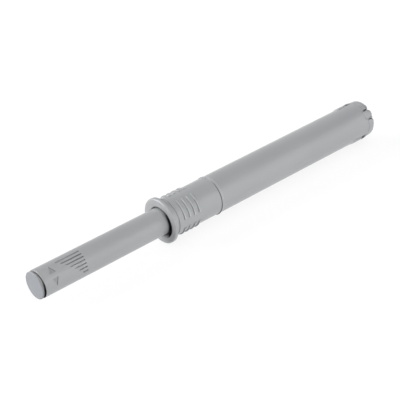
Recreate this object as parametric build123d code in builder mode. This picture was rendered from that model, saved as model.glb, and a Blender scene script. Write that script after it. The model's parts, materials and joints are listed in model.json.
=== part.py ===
from build123d import *
import os
from math import atan2, cos, radians, sin

# Push-to-open touch latch for a round drilling, shown with its plunger fully out
# X runs along the latch into the drilling, Z is up, and X = 0 is the flange's seating face
# All sizes are in millimetres and all angles are in degrees

# Radial stack, from the cam rod in the middle out to the drilling's wall
ROD_R = 2.05
ROD_PLAY = 0.15
CORE_WALL = 0.58
SLEEVE_PLAY = 0.07
SLEEVE_WALL = 0.52
SLEEVE_DRAFT = 0.10
GUIDE_PLAY = 0.08
NOSE_WALL = 0.50
NOSE_FIT = 0.05
COLLAR_WALL = 0.73
COLLAR_SHY = 0.02
STOP_SHOULDER = 0.40
HEAD_PLAY = 0.10

# Flange, neck, crush ribs and lip of the collar
FLANGE_T = 1.0
FLANGE_PROUD = 0.97
FLANGE_FRONT_ROUND = 0.40
FLANGE_BACK_ROUND = 0.12
THROAT_PLAY = 0.13
THROAT_GAP = 0.1
MOUTH_ROUND = 0.90
NECK_L = 1.35
NECK_DEPTH = 0.18
RELIEF_DEPTH = 0.12
RELIEF_PROUD = 0.15
COLLAR_L = 14.9
RIB_GROUPS = 4
RIB_ROWS = 4
RIB_FIRST_X = 2.85
RIB_PITCH = 1.5
RIB_PROUD = 0.29
RIB_CREST = 0.14
RIB_RAMP = 0.80
RIB_SPAN = 60.0
LIP_L = 0.45
LIP_PROUD = 0.18
SNAP_RING_X = 8.0
SNAP_RING_L = 1.2
SNAP_RING_PROUD = 0.15

# Travel of the plunger and reach of its tip
STROKE = 35.5
OVERTRAVEL = 1.5
TIP_PROUD = 0.55
REACH_RANGE = 4.0

# Tip: buffer disc, gap and screw
DISC_T = 0.57
DISC_SHY = 0.09
DISC_ROUND = 0.16
TIP_GAP = 0.31
SCREW_FRONT_WALL = 1.25
SCREW_HELD_L = 3.7
SCREW_END_GAP = 0.97
STEM_R = 1.0
STEM_L = 1.1
STEM_FIT = 0.02
KEY_FLATS = 3.2
KEY_PLAY = 0.08
KEY_END_GAP = 0.2

# Sleeve: arrowheads and the wedge of grooves, on the two mould sides
SLEEVE_EDGE_ROUND = 0.15
MARK_SIDES = (135, 315)
MARK_DEPTH = 0.22
ARROW_X = 3.0
ARROW_L = 1.5
ARROW_BASE = 0.65
ARROW_POINT = 2.3
GROOVES = 7
GROOVE_W = 0.30
GROOVE_PITCH = 0.80
GROOVE_END_X = 11.5
GROOVE_LONGEST = 6.5
GROOVE_STEP = 0.85

# Core and the ring that holds the sleeve on it
CORE_FRONT_WALL = 1.0
CORE_END_GAP = 1.0
SOCKET_L = 4.0
SLEEVE_END_GAP = 0.05
HOLD_RING_X = 16.0
HOLD_RING_L = 0.8
HOLD_RING_PROUD = 0.15

# Housing tube
NOSE_INSET = 1.8
NOSE_CHAMFER = 0.15
SEAM = 0.05
SEAM_CHAMFER = 0.10
STOP_BEHIND = 1.0
PAD_SIDES = (45, 225)
PAD_SPAN = 40.0
PAD_PROUD = 0.20
PAD_L = 5.5
PAD_RAMP = 1.1
PAD_BACK = 0.15
WINDOW_SPAN = 33.0
WINDOW_L = 1.2
WINDOW_BACK = 1.0

# Pin carrier, the piston at the core's rear end
STOP_GAP = 0.05
NECK_PLAY = 0.15
CARRIER_NECK_L = 2.95
HEAD_L = 5.0
HEAD_CHAMFER = 0.3
SOCKET_FIT = 0.02
CARRIER_KEY_PLAY = 0.1

# Latch pin, a bent wire that swings across the cam track
PIN_R = 0.25
PIN_BEND_R = 0.35
PIN_PLAY = 0.05
PIN_PIVOT_X = 2.5
PIN_BEHIND = 3.6
PIN_HOLE_SHY = 0.25
PIN_LIFT = 0.1
LANE = 0.7

# Cam rod, with a flat, a channel for the pin's tip and the heart-shaped catch
FLAT_H = 1.2
CHANNEL_DEPTH = 0.7
LANE_PLAY = 0.05
CHANNEL_END_GAP = 0.3
CHANNEL_SLANT = 0.25
CATCH_PLAY = 0.05
CATCH_HORN = 0.35
CATCH_L = 3.0
CATCH_NOSE = 2.5
ROD_KEY_H = 1.5
FLAT_END_GAP = 0.4

# Main spring
WIRE_D = 0.5
COILS = 12
SPRING_PLAY = 0.25
SPRING_SPARE = 1.05
SPRING_SEAT = 0.02
BOSS_GAP = 1.2
BOSS_PLAY = 0.2

# End cap
PLUG_L = 3.0
PLUG_FIT = 0.04
CAP_T = 2.3
CAP_ROUND = 0.85
CAP_CHAMFER = 0.12
TAB_SIDES = (135, 315)
TAB_HALF = 12.0
TAB_PROUD = 0.06
TAB_KEY_L = 0.7
TAB_KEY_PLAY = 1.2
SLOT_W = 0.5
SLOT_DEPTH = 1.2
HOOK_SPAN = 24.0
HOOK_SHY = 0.25
HOOK_PLAY = 0.06
HOOK_CREST = 0.3
CAP_SOCKET_WALL = 0.8
CAP_RECESS_R = 2.6
CAP_RECESS_DEPTH = 0.3

# Radii that follow from the stack
CORE_BORE_R = ROD_R + ROD_PLAY
CORE_R = CORE_BORE_R + CORE_WALL
SLEEVE_BORE_R = CORE_R + SLEEVE_PLAY
SLEEVE_REAR_R = SLEEVE_BORE_R + SLEEVE_WALL
SLEEVE_FRONT_R = SLEEVE_REAR_R + SLEEVE_DRAFT
THROAT_R = SLEEVE_FRONT_R + THROAT_PLAY
GUIDE_R = SLEEVE_FRONT_R + GUIDE_PLAY
NOSE_R = GUIDE_R + NOSE_WALL
COLLAR_BORE_R = NOSE_R + NOSE_FIT
COLLAR_R = COLLAR_BORE_R + COLLAR_WALL
BODY_R = COLLAR_R + COLLAR_SHY
FLANGE_R = COLLAR_R + FLANGE_PROUD
TUBE_BORE_R = GUIDE_R + STOP_SHOULDER
HEAD_R = TUBE_BORE_R - HEAD_PLAY
WIRE_R = WIRE_D / 2
SPRING_R = TUBE_BORE_R - SPRING_PLAY - WIRE_R

# Places along X that follow from the travel
TIP_X = -(FLANGE_T + TIP_PROUD + STROKE)
DISC_BACK_X = TIP_X + DISC_T
SLEEVE_FRONT_X = DISC_BACK_X + TIP_GAP
NOSE_X = NOSE_INSET - FLANGE_T
THROAT_BACK_X = NOSE_X - THROAT_GAP
SHOULDER_X = COLLAR_L + SEAM
STOP_X = COLLAR_L + STOP_BEHIND
HEAD_X = STOP_X + STOP_GAP
HEAD_BACK_X = HEAD_X + HEAD_L
CARRIER_FRONT_X = HEAD_X - CARRIER_NECK_L
CORE_BACK_X = CARRIER_FRONT_X + SOCKET_L
SLEEVE_BACK_X = CARRIER_FRONT_X - SLEEVE_END_GAP
SCREW_BACK_X = SLEEVE_FRONT_X + SCREW_HELD_L + REACH_RANGE
CORE_FRONT_X = SCREW_BACK_X + SCREW_END_GAP
CORE_BORE_X = CORE_FRONT_X + CORE_FRONT_WALL
ROD_FRONT_X = CORE_BORE_X + CORE_END_GAP + STROKE
SEAT_X = HEAD_BACK_X + STROKE + COILS * WIRE_D + SPRING_SPARE
BODY_BACK_X = SEAT_X + PLUG_L
TAIL_X = BODY_BACK_X + CAP_T
PIVOT_X = HEAD_X + PIN_PIVOT_X
PIN_TIP_X = HEAD_BACK_X + PIN_BEHIND
PIN_TIP_IN_X = PIN_TIP_X + STROKE
BOSS_X = PIN_TIP_IN_X + PIN_R + BOSS_GAP


def radial_plane(angle):
    """Plane through the latch's axis: its x is along the latch and its y points outwards at the angle."""
    return Plane.XY.rotated((angle, 0, 0))


def mould_side_plane(angle):
    """Plane through the latch's axis that faces outwards at the angle, its x along the latch."""
    return Plane(origin=(0, 0, 0), x_dir=(1, 0, 0), z_dir=(0, cos(radians(angle)), sin(radians(angle))))


# Buffer tip: the thin end disc with the stem that is pressed into the screw
with BuildPart() as buffer_tip:
    with BuildSketch(Plane.YZ.offset(TIP_X)):
        Circle(SLEEVE_FRONT_R - DISC_SHY)
    extrude(amount=DISC_T)
    fillet(buffer_tip.edges().group_by(Axis.X)[0], DISC_ROUND)
    with BuildSketch(Plane.YZ.offset(DISC_BACK_X)):
        Circle(STEM_R - STEM_FIT)
    extrude(amount=STEM_L)
buffer_tip.part.label = "buffer_tip"

# Reach screw: moves in and out as the sleeve turns, and the hexagon keeps it from turning
with BuildPart() as reach_screw:
    with BuildSketch(Plane.YZ.offset(DISC_BACK_X)):
        Circle(SLEEVE_BORE_R - SLEEVE_PLAY)
    extrude(amount=SCREW_BACK_X - DISC_BACK_X)
    with BuildSketch(Plane.YZ.offset(DISC_BACK_X)):
        Circle(STEM_R)
    extrude(amount=SCREW_FRONT_WALL, mode=Mode.SUBTRACT)
    with BuildSketch(Plane.YZ.offset(DISC_BACK_X + SCREW_FRONT_WALL)):
        RegularPolygon(KEY_FLATS / 2 + KEY_PLAY, 6, major_radius=False)
    extrude(until=Until.LAST, mode=Mode.SUBTRACT)
reach_screw.part.label = "reach_screw"

# Plunger sleeve: the outer skin is cut by the marks, then a liner gives them their floor
GROOVE_BACK_X = SLEEVE_FRONT_X + GROOVE_END_X
ARROW_MID_X = SLEEVE_FRONT_X + ARROW_X
RING_X = SLEEVE_FRONT_X + HOLD_RING_X
with BuildPart() as plunger_sleeve:
    with BuildSketch(Plane.XY):
        Polygon(
            (SLEEVE_FRONT_X, SLEEVE_BORE_R),
            (SLEEVE_FRONT_X, SLEEVE_FRONT_R),
            (SLEEVE_BACK_X, SLEEVE_REAR_R),
            (SLEEVE_BACK_X, SLEEVE_BORE_R),
            align=None,
        )
    revolve(axis=Axis.X)
    fillet(plunger_sleeve.edges().group_by(Axis.X)[0].sort_by(SortBy.RADIUS)[-1], SLEEVE_EDGE_ROUND)
    for angle in MARK_SIDES:
        with BuildSketch(mould_side_plane(angle)):
            for number in range(GROOVES):
                length = GROOVE_LONGEST - number * GROOVE_STEP
                across = GROOVE_PITCH * ((GROOVES - 1) / 2 - number)
                with Locations((GROOVE_BACK_X - length / 2, across)):
                    Rectangle(length, GROOVE_W)
            for way in (1, -1):
                Polygon(
                    (ARROW_MID_X - ARROW_L / 2, way * ARROW_BASE),
                    (ARROW_MID_X + ARROW_L / 2, way * ARROW_BASE),
                    (ARROW_MID_X, way * ARROW_POINT),
                    align=None,
                )
        extrude(amount=2 * SLEEVE_FRONT_R, mode=Mode.SUBTRACT)
    with BuildSketch(Plane.XY):
        Polygon(
            (SLEEVE_FRONT_X, SLEEVE_BORE_R),
            (SLEEVE_FRONT_X, SLEEVE_FRONT_R - MARK_DEPTH),
            (SLEEVE_BACK_X, SLEEVE_REAR_R - MARK_DEPTH),
            (SLEEVE_BACK_X, SLEEVE_BORE_R),
            align=None,
        )
    revolve(axis=Axis.X)
    with BuildSketch(Plane.XY):
        with Locations((RING_X, SLEEVE_BORE_R)):
            Rectangle(HOLD_RING_L + 2 * SLEEVE_PLAY, 2 * HOLD_RING_PROUD)
    revolve(axis=Axis.X, mode=Mode.SUBTRACT)
plunger_sleeve.part.label = "plunger_sleeve"

# Plunger core: closed in front, with the hexagon for the screw and the ring that holds the sleeve
HEXAGON_FRONT_X = DISC_BACK_X + SCREW_FRONT_WALL + KEY_END_GAP
with BuildPart() as plunger_core:
    with BuildSketch(Plane.YZ.offset(CORE_FRONT_X)):
        Circle(CORE_R)
    extrude(amount=CORE_BACK_X - CORE_FRONT_X)
    with BuildSketch(Plane.XY):
        with Locations((RING_X, CORE_R)):
            Rectangle(HOLD_RING_L, 2 * HOLD_RING_PROUD)
    revolve(axis=Axis.X)
    with BuildSketch(Plane.YZ.offset(CORE_BORE_X)):
        Circle(CORE_BORE_R)
    extrude(amount=CORE_BACK_X - CORE_BORE_X, mode=Mode.SUBTRACT)
    with BuildSketch(Plane.YZ.offset(HEXAGON_FRONT_X)):
        RegularPolygon(KEY_FLATS / 2, 6, major_radius=False)
    extrude(amount=CORE_FRONT_X - HEXAGON_FRONT_X)
plunger_core.part.label = "plunger_core"

# Pin carrier: neck with the socket for the core, piston head, keyed bore and the pin's pivot hole
with BuildPart() as pin_carrier:
    with BuildSketch(Plane.YZ.offset(CARRIER_FRONT_X)):
        Circle(GUIDE_R - NECK_PLAY)
    extrude(amount=CARRIER_NECK_L)
    with BuildSketch(Plane.YZ.offset(HEAD_X)):
        Circle(HEAD_R)
    extrude(amount=HEAD_L)
    chamfer(pin_carrier.edges().group_by(Axis.X)[-1], HEAD_CHAMFER)
    with BuildSketch(Plane.YZ.offset(CARRIER_FRONT_X)):
        Circle(CORE_R + SOCKET_FIT)
    extrude(amount=SOCKET_L, mode=Mode.SUBTRACT)
    with BuildSketch(Plane.YZ.offset(CORE_BACK_X)):
        Circle(CORE_BORE_R)
        with Locations((0, -(ROD_KEY_H + CARRIER_KEY_PLAY))):
            Rectangle(2 * CORE_R, CORE_R, align=(Align.CENTER, Align.MAX), mode=Mode.SUBTRACT)
    extrude(amount=HEAD_BACK_X - CORE_BACK_X, mode=Mode.SUBTRACT)
    with BuildSketch(Plane.XY):
        with Locations((PIVOT_X, -LANE)):
            Circle(PIN_R + PIN_PLAY)
    extrude(amount=2 * HEAD_R, mode=Mode.SUBTRACT)
pin_carrier.part.label = "pin_carrier"

# Latch pin: pivot leg outwards, long leg over the rod's flat, tip leg down into the channel
PIN_LEG_Z = FLAT_H + PIN_LIFT + PIN_R
PIN_TIP_Z = FLAT_H - CHANNEL_DEPTH + PIN_LIFT
with BuildPart() as latch_pin:
    with BuildLine(Plane.XZ.offset(LANE)) as pin_path:
        FilletPolyline(
            (PIVOT_X, HEAD_R - PIN_HOLE_SHY),
            (PIVOT_X, PIN_LEG_Z),
            (PIN_TIP_X, PIN_LEG_Z),
            (PIN_TIP_X, PIN_TIP_Z),
            radius=PIN_BEND_R,
        )
    with BuildSketch(Plane(origin=pin_path.line @ 0, z_dir=pin_path.line % 0)):
        Circle(PIN_R)
    sweep(path=pin_path.line)
latch_pin.part.label = "latch_pin"

# Cam rod: round bar with a flat, an open channel with two lanes, and the catch between the lanes
FLAT_BACK_X = BOSS_X - FLAT_END_GAP
CHANNEL_HALF = LANE + PIN_R + LANE_PLAY
CHANNEL_BACK_X = PIN_TIP_IN_X + PIN_R + CHANNEL_END_GAP
CATCH_HALF = LANE - PIN_R - LANE_PLAY
CATCH_SEAT = PIN_R / sin(atan2(CATCH_HALF, CATCH_HORN)) + CATCH_PLAY
CATCH_X = PIN_TIP_IN_X - OVERTRAVEL - CATCH_SEAT
ROD_BACK_X = TAIL_X - CAP_SOCKET_WALL
with BuildPart() as cam_rod:
    with BuildSketch(Plane.YZ.offset(ROD_FRONT_X)):
        Circle(ROD_R)
        with Locations((0, -ROD_KEY_H)):
            Rectangle(2 * ROD_R, ROD_R, align=(Align.CENTER, Align.MAX), mode=Mode.SUBTRACT)
    extrude(amount=ROD_BACK_X - ROD_FRONT_X)
    with BuildSketch(Plane.XY.offset(FLAT_H)):
        with Locations((ROD_FRONT_X, 0)):
            Rectangle(FLAT_BACK_X - ROD_FRONT_X, 2 * ROD_R, align=(Align.MIN, Align.CENTER))
    extrude(amount=ROD_R, mode=Mode.SUBTRACT)
    with BuildSketch(Plane.XY.offset(FLAT_H - CHANNEL_DEPTH)):
        Polygon(
            (ROD_FRONT_X, -CHANNEL_HALF),
            (CHANNEL_BACK_X, -CHANNEL_HALF),
            (CHANNEL_BACK_X + CHANNEL_SLANT, CHANNEL_HALF),
            (ROD_FRONT_X, CHANNEL_HALF),
            align=None,
        )
        Polygon(
            (CATCH_X, 0),
            (CATCH_X + CATCH_HORN, CATCH_HALF),
            (CATCH_X - CATCH_L - CATCH_NOSE, CATCH_HALF),
            (CATCH_X - CATCH_L, -CATCH_HALF),
            (CATCH_X + CATCH_HORN, -CATCH_HALF),
            align=None,
            mode=Mode.SUBTRACT,
        )
    extrude(amount=CHANNEL_DEPTH, mode=Mode.SUBTRACT)
cam_rod.part.label = "cam_rod"

# Main spring: one round wire, wound between the carrier's head and the end cap
SPRING_FRONT_X = HEAD_BACK_X + WIRE_R + SPRING_SEAT
SPRING_BACK_X = SEAT_X - WIRE_R - SPRING_SEAT
SPRING_H = SPRING_BACK_X - SPRING_FRONT_X
with BuildPart() as main_spring:
    with BuildLine() as spring_path:
        Helix(
            pitch=SPRING_H / (COILS - 1),
            height=SPRING_H,
            radius=SPRING_R,
            center=(SPRING_FRONT_X, 0, 0),
            direction=(1, 0, 0),
        )
    with BuildSketch(Plane(origin=spring_path.line @ 0, z_dir=spring_path.line % 0)):
        Circle(WIRE_R)
    sweep(path=spring_path.line, is_frenet=True)
main_spring.part.label = "main_spring"

# Collar bush: flange, neck, sleeve and lip are turned, then the groups of crush ribs are added
with BuildPart() as collar_bush:
    with BuildSketch(Plane.XY):
        Polygon(
            (-FLANGE_T, THROAT_R),
            (-FLANGE_T, FLANGE_R),
            (0, FLANGE_R),
            (0, COLLAR_R + RELIEF_PROUD),
            (-RELIEF_DEPTH, COLLAR_R + RELIEF_PROUD),
            (-RELIEF_DEPTH, COLLAR_R - NECK_DEPTH),
            (NECK_L, COLLAR_R - NECK_DEPTH),
            (NECK_L, COLLAR_R),
            (COLLAR_L - LIP_L, COLLAR_R),
            (COLLAR_L - LIP_L / 2, COLLAR_R + LIP_PROUD),
            (COLLAR_L, COLLAR_R + LIP_PROUD),
            (COLLAR_L, COLLAR_BORE_R),
            (THROAT_BACK_X, COLLAR_BORE_R),
            (THROAT_BACK_X, THROAT_R),
            align=None,
        )
    revolve(axis=Axis.X)
    front_edges = collar_bush.edges().group_by(Axis.X)[0].sort_by(SortBy.RADIUS)
    fillet(front_edges[0], MOUTH_ROUND)
    fillet(front_edges[-1], FLANGE_FRONT_ROUND)
    back_rim = collar_bush.edges().filter_by(GeomType.CIRCLE).sort_by(SortBy.RADIUS)[-1]
    fillet(back_rim, FLANGE_BACK_ROUND)
    with BuildSketch(Plane.XY):
        with Locations((SNAP_RING_X, COLLAR_BORE_R)):
            Rectangle(SNAP_RING_L + 2 * NOSE_FIT, 2 * SNAP_RING_PROUD)
    revolve(axis=Axis.X, mode=Mode.SUBTRACT)
    for group in range(RIB_GROUPS):
        middle = PAD_SIDES[0] + group * 360 / RIB_GROUPS
        with BuildSketch(radial_plane(middle - RIB_SPAN / 2)):
            for row in range(RIB_ROWS):
                rib_x = RIB_FIRST_X + row * RIB_PITCH
                Polygon(
                    (rib_x, COLLAR_R - NECK_DEPTH),
                    (rib_x, COLLAR_R + RIB_PROUD),
                    (rib_x + RIB_CREST, COLLAR_R + RIB_PROUD),
                    (rib_x + RIB_CREST + RIB_RAMP, COLLAR_R),
                    (rib_x + RIB_CREST + RIB_RAMP, COLLAR_R - NECK_DEPTH),
                    align=None,
                )
        revolve(axis=Axis.X, revolution_arc=RIB_SPAN)
collar_bush.part.label = "collar_bush"

# Housing tube: nose inside the collar, plain body, pads with snap windows, notches for the key tabs
WINDOW_BACK_X = BODY_BACK_X - WINDOW_BACK
with BuildPart() as housing_tube:
    with BuildSketch(Plane.XY):
        Polygon(
            (NOSE_X, GUIDE_R),
            (NOSE_X, NOSE_R - NOSE_CHAMFER),
            (NOSE_X + NOSE_CHAMFER, NOSE_R),
            (SHOULDER_X, NOSE_R),
            (SHOULDER_X, BODY_R - SEAM_CHAMFER),
            (SHOULDER_X + SEAM_CHAMFER, BODY_R),
            (BODY_BACK_X - CAP_CHAMFER, BODY_R),
            (BODY_BACK_X, BODY_R - CAP_CHAMFER),
            (BODY_BACK_X, TUBE_BORE_R),
            (STOP_X, TUBE_BORE_R),
            (STOP_X, GUIDE_R),
            align=None,
        )
        with Locations((SNAP_RING_X, NOSE_R)):
            Rectangle(SNAP_RING_L, 2 * (SNAP_RING_PROUD - NOSE_FIT))
    revolve(axis=Axis.X)
    for angle in PAD_SIDES:
        with BuildSketch(radial_plane(angle - PAD_SPAN / 2)):
            Polygon(
                (BODY_BACK_X - PAD_L, BODY_R),
                (BODY_BACK_X - PAD_L + PAD_RAMP, BODY_R + PAD_PROUD),
                (BODY_BACK_X - PAD_BACK - PAD_PROUD, BODY_R + PAD_PROUD),
                (BODY_BACK_X - PAD_BACK, BODY_R),
                (BODY_BACK_X - PAD_BACK, BODY_R - PAD_PROUD),
                (BODY_BACK_X - PAD_L, BODY_R - PAD_PROUD),
                align=None,
            )
        revolve(axis=Axis.X, revolution_arc=PAD_SPAN)
        with BuildSketch(radial_plane(angle - WINDOW_SPAN / 2)):
            with Locations((WINDOW_BACK_X, TUBE_BORE_R - PAD_PROUD)):
                Rectangle(WINDOW_L, 2 * BODY_R - TUBE_BORE_R, align=(Align.MAX, Align.MIN))
        revolve(axis=Axis.X, revolution_arc=WINDOW_SPAN, mode=Mode.SUBTRACT)
    for angle in TAB_SIDES:
        with BuildSketch(radial_plane(angle - TAB_HALF - TAB_KEY_PLAY)):
            with Locations((BODY_BACK_X, TUBE_BORE_R - PAD_PROUD)):
                Rectangle(TAB_KEY_L + SEAM, 2 * BODY_R - TUBE_BORE_R, align=(Align.MAX, Align.MIN))
        revolve(axis=Axis.X, revolution_arc=2 * (TAB_HALF + TAB_KEY_PLAY), mode=Mode.SUBTRACT)
housing_tube.part.label = "housing_tube"

# End cap: plug with spring boss and snap hooks, slotted flange with two key tabs, keyed rod socket
PLUG_R = TUBE_BORE_R - PLUG_FIT
WINDOW_FRONT_X = WINDOW_BACK_X - WINDOW_L
with BuildPart() as end_cap:
    with BuildSketch(Plane.YZ.offset(SEAT_X)):
        Circle(PLUG_R)
    extrude(amount=PLUG_L)
    with BuildSketch(Plane.YZ.offset(BOSS_X)):
        Circle(SPRING_R - WIRE_R - BOSS_PLAY)
    extrude(amount=SEAT_X - BOSS_X)
    with BuildSketch(Plane.XY) as flange_outline:
        with Locations((BODY_BACK_X, 0)):
            Rectangle(CAP_T, BODY_R, align=Align.MIN)
        outer_corners = flange_outline.vertices().group_by(Axis.Y)[-1].sort_by(Axis.X)
        fillet(outer_corners[-1], CAP_ROUND)
        chamfer(outer_corners[0], CAP_CHAMFER)
    revolve(axis=Axis.X)
    for angle in TAB_SIDES:
        with BuildSketch(radial_plane(angle - TAB_HALF)) as tab_outline:
            with Locations((BODY_BACK_X - TAB_KEY_L, PLUG_R - PAD_PROUD)):
                tab_h = BODY_R + TAB_PROUD - PLUG_R + PAD_PROUD
                Rectangle(TAB_KEY_L + CAP_T, tab_h, align=Align.MIN)
            outer_corners = tab_outline.sketch_local.vertices().group_by(Axis.Y)[-1].sort_by(Axis.X)
            fillet(outer_corners[-1], CAP_ROUND)
        revolve(axis=Axis.X, revolution_arc=2 * TAB_HALF)
    slot_angle = TAB_HALF + SLOT_W / 2 / BODY_R / radians(1)
    slot_angles = [side + way * slot_angle for side in TAB_SIDES for way in (1, -1)]
    with BuildSketch(Plane.YZ.offset(BODY_BACK_X)):
        for angle in slot_angles:
            with PolarLocations(BODY_R - SLOT_DEPTH, 1, start_angle=angle):
                Rectangle(2 * SLOT_DEPTH, SLOT_W, align=(Align.MIN, Align.CENTER))
    extrude(amount=CAP_T, mode=Mode.SUBTRACT)
    for angle in PAD_SIDES:
        with BuildSketch(radial_plane(angle - HOOK_SPAN / 2)):
            Polygon(
                (WINDOW_FRONT_X + HOOK_PLAY, PLUG_R - PAD_PROUD),
                (WINDOW_FRONT_X + HOOK_PLAY, PLUG_R),
                (WINDOW_BACK_X - HOOK_PLAY - HOOK_CREST, BODY_R - HOOK_SHY),
                (WINDOW_BACK_X - HOOK_PLAY, BODY_R - HOOK_SHY),
                (WINDOW_BACK_X - HOOK_PLAY, PLUG_R - PAD_PROUD),
                align=None,
            )
        revolve(axis=Axis.X, revolution_arc=HOOK_SPAN)
    with BuildSketch(Plane.YZ.offset(BOSS_X)):
        Circle(ROD_R + SOCKET_FIT)
        with Locations((0, -ROD_KEY_H - SOCKET_FIT)):
            Rectangle(2 * CORE_R, CORE_R, align=(Align.CENTER, Align.MAX), mode=Mode.SUBTRACT)
    extrude(amount=ROD_BACK_X + SOCKET_FIT - BOSS_X, mode=Mode.SUBTRACT)
    with BuildSketch(Plane.YZ.offset(TAIL_X - CAP_RECESS_DEPTH)):
        Circle(CAP_RECESS_R)
    extrude(amount=CAP_RECESS_DEPTH, mode=Mode.SUBTRACT)
end_cap.part.label = "end_cap"

# Write one STEP file for each piece
PIECES = [
    buffer_tip,
    reach_screw,
    plunger_sleeve,
    plunger_core,
    pin_carrier,
    latch_pin,
    cam_rod,
    main_spring,
    collar_bush,
    housing_tube,
    end_cap,
]
os.makedirs("parts", exist_ok=True)
for piece in PIECES:
    export_step(piece.part, f"parts/{piece.part.label}.step")
    print(piece.part.label, round(piece.part.volume, 2))
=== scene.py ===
import json
from math import asin, atan2, cos, degrees, pi, radians, sin, tan

import bmesh
import bpy
from bpy.props import FloatProperty, FloatVectorProperty, IntProperty, PointerProperty
from mathutils import Matrix, Vector


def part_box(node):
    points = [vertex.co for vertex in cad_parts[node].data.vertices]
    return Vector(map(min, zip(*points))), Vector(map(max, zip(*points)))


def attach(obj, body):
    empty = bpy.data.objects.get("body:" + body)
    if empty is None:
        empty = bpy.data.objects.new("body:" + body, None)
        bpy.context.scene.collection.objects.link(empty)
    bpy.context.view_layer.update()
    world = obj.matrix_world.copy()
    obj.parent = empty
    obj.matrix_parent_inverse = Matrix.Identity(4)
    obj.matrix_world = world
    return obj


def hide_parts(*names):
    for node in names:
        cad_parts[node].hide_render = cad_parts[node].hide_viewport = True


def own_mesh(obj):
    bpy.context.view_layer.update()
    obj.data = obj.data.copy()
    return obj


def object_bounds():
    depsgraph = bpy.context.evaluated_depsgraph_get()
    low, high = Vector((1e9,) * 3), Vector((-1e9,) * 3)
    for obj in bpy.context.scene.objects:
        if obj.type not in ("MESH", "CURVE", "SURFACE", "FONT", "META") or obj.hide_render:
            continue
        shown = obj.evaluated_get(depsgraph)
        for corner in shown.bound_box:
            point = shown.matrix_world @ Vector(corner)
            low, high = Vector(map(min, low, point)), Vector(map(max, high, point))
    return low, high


bl_info = {
    "name": "Touch latch",
    "version": (1, 0, 0),
    "blender": (4, 5, 0),
    "location": "3D View > Sidebar > Touch latch",
    "description": "Push-to-open touch latch with its plunger out, dressed on its packed model",
    "category": "Object",
}

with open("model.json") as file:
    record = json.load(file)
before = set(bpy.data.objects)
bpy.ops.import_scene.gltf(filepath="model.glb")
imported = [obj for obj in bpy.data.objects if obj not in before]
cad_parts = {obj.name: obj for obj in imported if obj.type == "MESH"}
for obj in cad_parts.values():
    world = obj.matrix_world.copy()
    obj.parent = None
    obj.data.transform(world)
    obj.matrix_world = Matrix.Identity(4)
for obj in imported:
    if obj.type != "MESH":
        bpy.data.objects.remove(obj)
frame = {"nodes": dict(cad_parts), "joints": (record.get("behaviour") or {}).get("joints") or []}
CAD_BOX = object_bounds()

MM = 0.001
MERGE = 0.001 * MM  # points nearer than this are one point
SUPPORT = 0.05 * MM  # from a rounding to the support point beside it
WALL_TURN = 0.02 * MM  # width of a wall that stands up in a turned piece
SAME_ANGLE = 1e-4  # closer than this, two angles of a turned piece are one
ARC_STEP = 0.08 * MM  # between two points of a rounding
LEAST_ARC_STEPS = 4
SHARP_FROM = 38  # degrees between two faces

# Small roundings of moulded edges, from the sharpest to the softest.
CRISP_ROUND = 0.02 * MM
ROOT_ROUND = 0.04 * MM
FINE_ROUND = 0.06 * MM
TUBE_ROUND = 0.08 * MM
SMALL_ROUND = 0.10 * MM
CREST_ROUND = 0.11 * MM
RIM_ROUND = 0.12 * MM
EDGE_ROUND = 0.15 * MM
SEAM_ROUND = 0.16 * MM
BOSS_ROUND = 0.20 * MM

PAD_SKIN = 0.2 * MM  # depth of the tube's surface that the pads raise
PLUG_SKIN = 0.02 * MM  # depth of the plug's surface that the hooks raise
KEY_FACE = 0.1 * MM  # length of the cap's front edge that becomes a tab's key
RIB_SINK = 0.02 * MM  # how far a rib's foot lies below the collar's surface

# Steps round each piece.
DISC_STEPS = 160
SCREW_STEPS = 96
SLEEVE_STEPS = 120
COLLAR_STEPS = 256
HOUSING_STEPS = 180
RIB_STEPS = 48
COIL_STEPS = 48
WIRE_STEPS = 16

# Thread of the reach screw: its starts, its points in a turn, its ends and its depth of surface.
THREAD_STARTS = 2
THREAD_POINTS = 12
THREAD_RUN_IN = 0.5 * MM
THREAD_RUN_OUT = 0.3 * MM
THREAD_SKIN = 0.1 * MM

# Sides of the latch, in degrees about X from +Y towards +Z: of the sleeve's marks, the key tabs, the tail
# pads with their windows, and the shallower slots.
MARK_SIDES = (135, 315)
TAB_SIDES = (135, 315)
PAD_SIDES = (45, 225)
SHALLOW_SIDES = (150, 330)

# The side where painted shade lies, in degrees, and how far across to it the painted shade starts and is
# full: in the flange's mouth and on the sleeve behind it, in the gap behind the tip's disc, and at the lip's
# foot.
MOUTH_PAINTED_SHADE = (172, 0.50, 0.95)
GAP_PAINTED_SHADE = (190, 0.3, 1.0)
LIP_PAINTED_SHADE = (180, 0.0, 1.0)

# Shares of the painted shade: the least one round the tip's gap, and the most at the lip and on the hooks.
SLEEVE_PAINTED_SHADE_LEAST = 0.1
SCREW_PAINTED_SHADE_LEAST = 0.35
LIP_PAINTED_SHADE_MOST = 0.5
HOOK_PAINTED_SHADE_MOST = 0.6
PAINTED_SHADE_EDGE = 0.05 * MM  # along which a painted shade fades
PAINTED_SHADE_SKIN = 0.3 * MM  # from a piece's surface to the radius where its painted shade starts or ends
LIP_SHADE_LINE = 0.04 * MM  # how far the painted shade line at the lip's foot reaches

# Tones of the painted shade in the marks' floors and of the painted highlights on the ribs' crests and the
# tube's seam edge, against the plastic's shade, and how far the highlights reach.
MARK_SHADE_TONE = 0.72
CREST_HIGHLIGHT_TONE = 1.45
CREST_HIGHLIGHT_REACH = 0.04 * MM
SEAM_HIGHLIGHT_TONE = 1.3
SEAM_HIGHLIGHT_REACH = (0.2 * MM, 0.45 * MM)

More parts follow.
